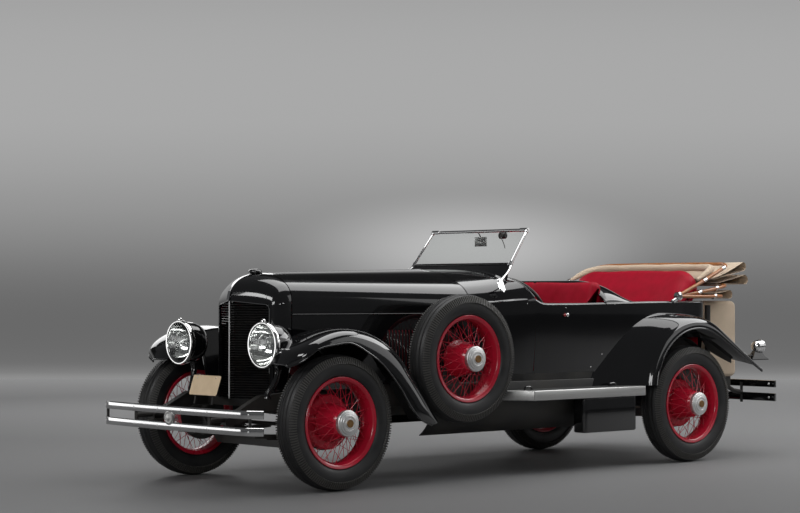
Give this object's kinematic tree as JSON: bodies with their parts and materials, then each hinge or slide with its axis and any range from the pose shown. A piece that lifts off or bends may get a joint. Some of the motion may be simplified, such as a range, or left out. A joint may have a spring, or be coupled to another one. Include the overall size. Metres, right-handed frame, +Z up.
{
  "type": "vintage speedster car",
  "caption": "Open vintage speedster with wire wheels, side-mounted spares, louvred hood, slatted pointed radiator, folded canvas top and rear trunk; rolls and steers.",
  "frame": {"origin": "on the ground under the middle of the car, centred across its width", "axes": "+X forward, +Y to the left of the car, +Z up"},
  "size_m": [4.9249, 1.77, 1.6019],
  "materials": {
    "black_paint": "gloss",
    "chassis_black": "satin",
    "red_enamel": "gloss",
    "tyre_rubber": "matte",
    "bright_plate": "polished",
    "cast_block": "rough cast",
    "pipe_steel": "dull",
    "red_leather": "satin",
    "clear_glass": "clear",
    "tan_canvas": "woven",
    "varnished_wood": "varnished",
    "step_aluminium": "satin",
    "plate_tan": "satin"
  },
  "bodies": {
    "chassis": {"cowl": "black_paint", "body_sides": "black_paint", "body_back": "black_paint", "hood_sides": "black_paint", "front_fenders": "black_paint", "rear_fenders": "black_paint", "side_aprons": "black_paint", "board_boxes": "black_paint", "radiator_slats": "black_paint", "headlamps": "black_paint", "instrument_panel": "black_paint", "bulkhead": "black_paint", "frame_rails": "chassis_black", "cross_members": "chassis_black", "leaf_springs": "chassis_black", "front_axle": "chassis_black", "rear_axle": "chassis_black", "fuel_tank": "chassis_black", "floor": "chassis_black", "wheel_houses": "chassis_black", "spare_posts": "chassis_black", "steering_column": "chassis_black", "spare_wheels": "red_enamel", "spare_tyres": "tyre_rubber", "radiator_shell": "bright_plate", "front_bumper": "bright_plate", "rear_bumper": "bright_plate", "tail_lamps": "bright_plate", "windshield_frame": "bright_plate", "engine": "cast_block", "exhaust": "pipe_steel", "front_seat": "red_leather", "rear_seat": "red_leather", "windshield_glass": "clear_glass", "headlamp_lenses": "clear_glass", "top_canvas": "tan_canvas", "trunk": "tan_canvas", "top_bows": "varnished_wood", "running_boards": "step_aluminium", "number_plate": "plate_tan"},
    "wheel_front_left": {"wheel_front_left": "red_enamel", "tyre_front_left": "tyre_rubber"},
    "wheel_front_right": {"wheel_front_right": "red_enamel", "tyre_front_right": "tyre_rubber"},
    "wheel_rear_left": {"wheel_rear_left": "red_enamel", "tyre_rear_left": "tyre_rubber"},
    "wheel_rear_right": {"wheel_rear_right": "red_enamel", "tyre_rear_right": "tyre_rubber"},
    "knuckle_left": {"knuckle_left": "chassis_black"},
    "knuckle_right": {"knuckle_right": "chassis_black"},
    "tie_rod": {"tie_rod": "chassis_black"},
    "hood_left": {"hood_left": "black_paint"},
    "hood_right": {"hood_right": "black_paint"},
    "steering_wheel": {"steering_wheel": "varnished_wood"}
  },
  "joints": [
    {"name": "steer_left", "type": "hinge", "parent": "chassis", "child": "knuckle_left", "pos_m": [1.7725, 0.58, 0.405], "axis": [0, 0, 1], "range_deg": [-32, 32]},
    {"name": "steer_right", "type": "hinge", "parent": "chassis", "child": "knuckle_right", "pos_m": [1.7725, -0.58, 0.405], "axis": [0, 0, 1], "range_deg": [-32, 32]},
    {"name": "tie_rod_pivot", "type": "hinge", "parent": "knuckle_left", "child": "tie_rod", "pos_m": [1.6125, 0.58, 0.353], "axis": [0, 0, 1], "range_deg": [-32, 32]},
    {"name": "wheel_front_left_spin", "type": "hinge", "parent": "knuckle_left", "child": "wheel_front_left", "pos_m": [1.7725, 0.72, 0.405], "axis": [0, 1, 0], "continuous": true},
    {"name": "wheel_front_right_spin", "type": "hinge", "parent": "knuckle_right", "child": "wheel_front_right", "pos_m": [1.7725, -0.72, 0.405], "axis": [0, 1, 0], "continuous": true},
    {"name": "wheel_rear_left_spin", "type": "hinge", "parent": "chassis", "child": "wheel_rear_left", "pos_m": [-1.4025, 0.72, 0.405], "axis": [0, 1, 0], "continuous": true},
    {"name": "wheel_rear_right_spin", "type": "hinge", "parent": "chassis", "child": "wheel_rear_right", "pos_m": [-1.4025, -0.72, 0.405], "axis": [0, 1, 0], "continuous": true},
    {"name": "hood_left_lift", "type": "hinge", "parent": "chassis", "child": "hood_left", "pos_m": [1.7725, 0, 1.2975], "axis": [0.9997, 0, -0.0227], "range_deg": [0, 60]},
    {"name": "hood_right_lift", "type": "hinge", "parent": "chassis", "child": "hood_right", "pos_m": [1.7725, 0, 1.2975], "axis": [-0.9997, 0, 0.0227], "range_deg": [0, 60]},
    {"name": "steering_wheel_turn", "type": "hinge", "parent": "chassis", "child": "steering_wheel", "pos_m": [-0.2475, 0.33, 1.17], "axis": [-0.788, 0, 0.6157], "range_deg": [-390, 390]}
  ],
  "couplings": [
    {"joint": "steer_right", "follows": "steer_left", "ratio": 1},
    {"joint": "tie_rod_pivot", "follows": "steer_left", "ratio": -1},
    {"joint": "steering_wheel_turn", "follows": "steer_left", "ratio": 12}
  ]
}
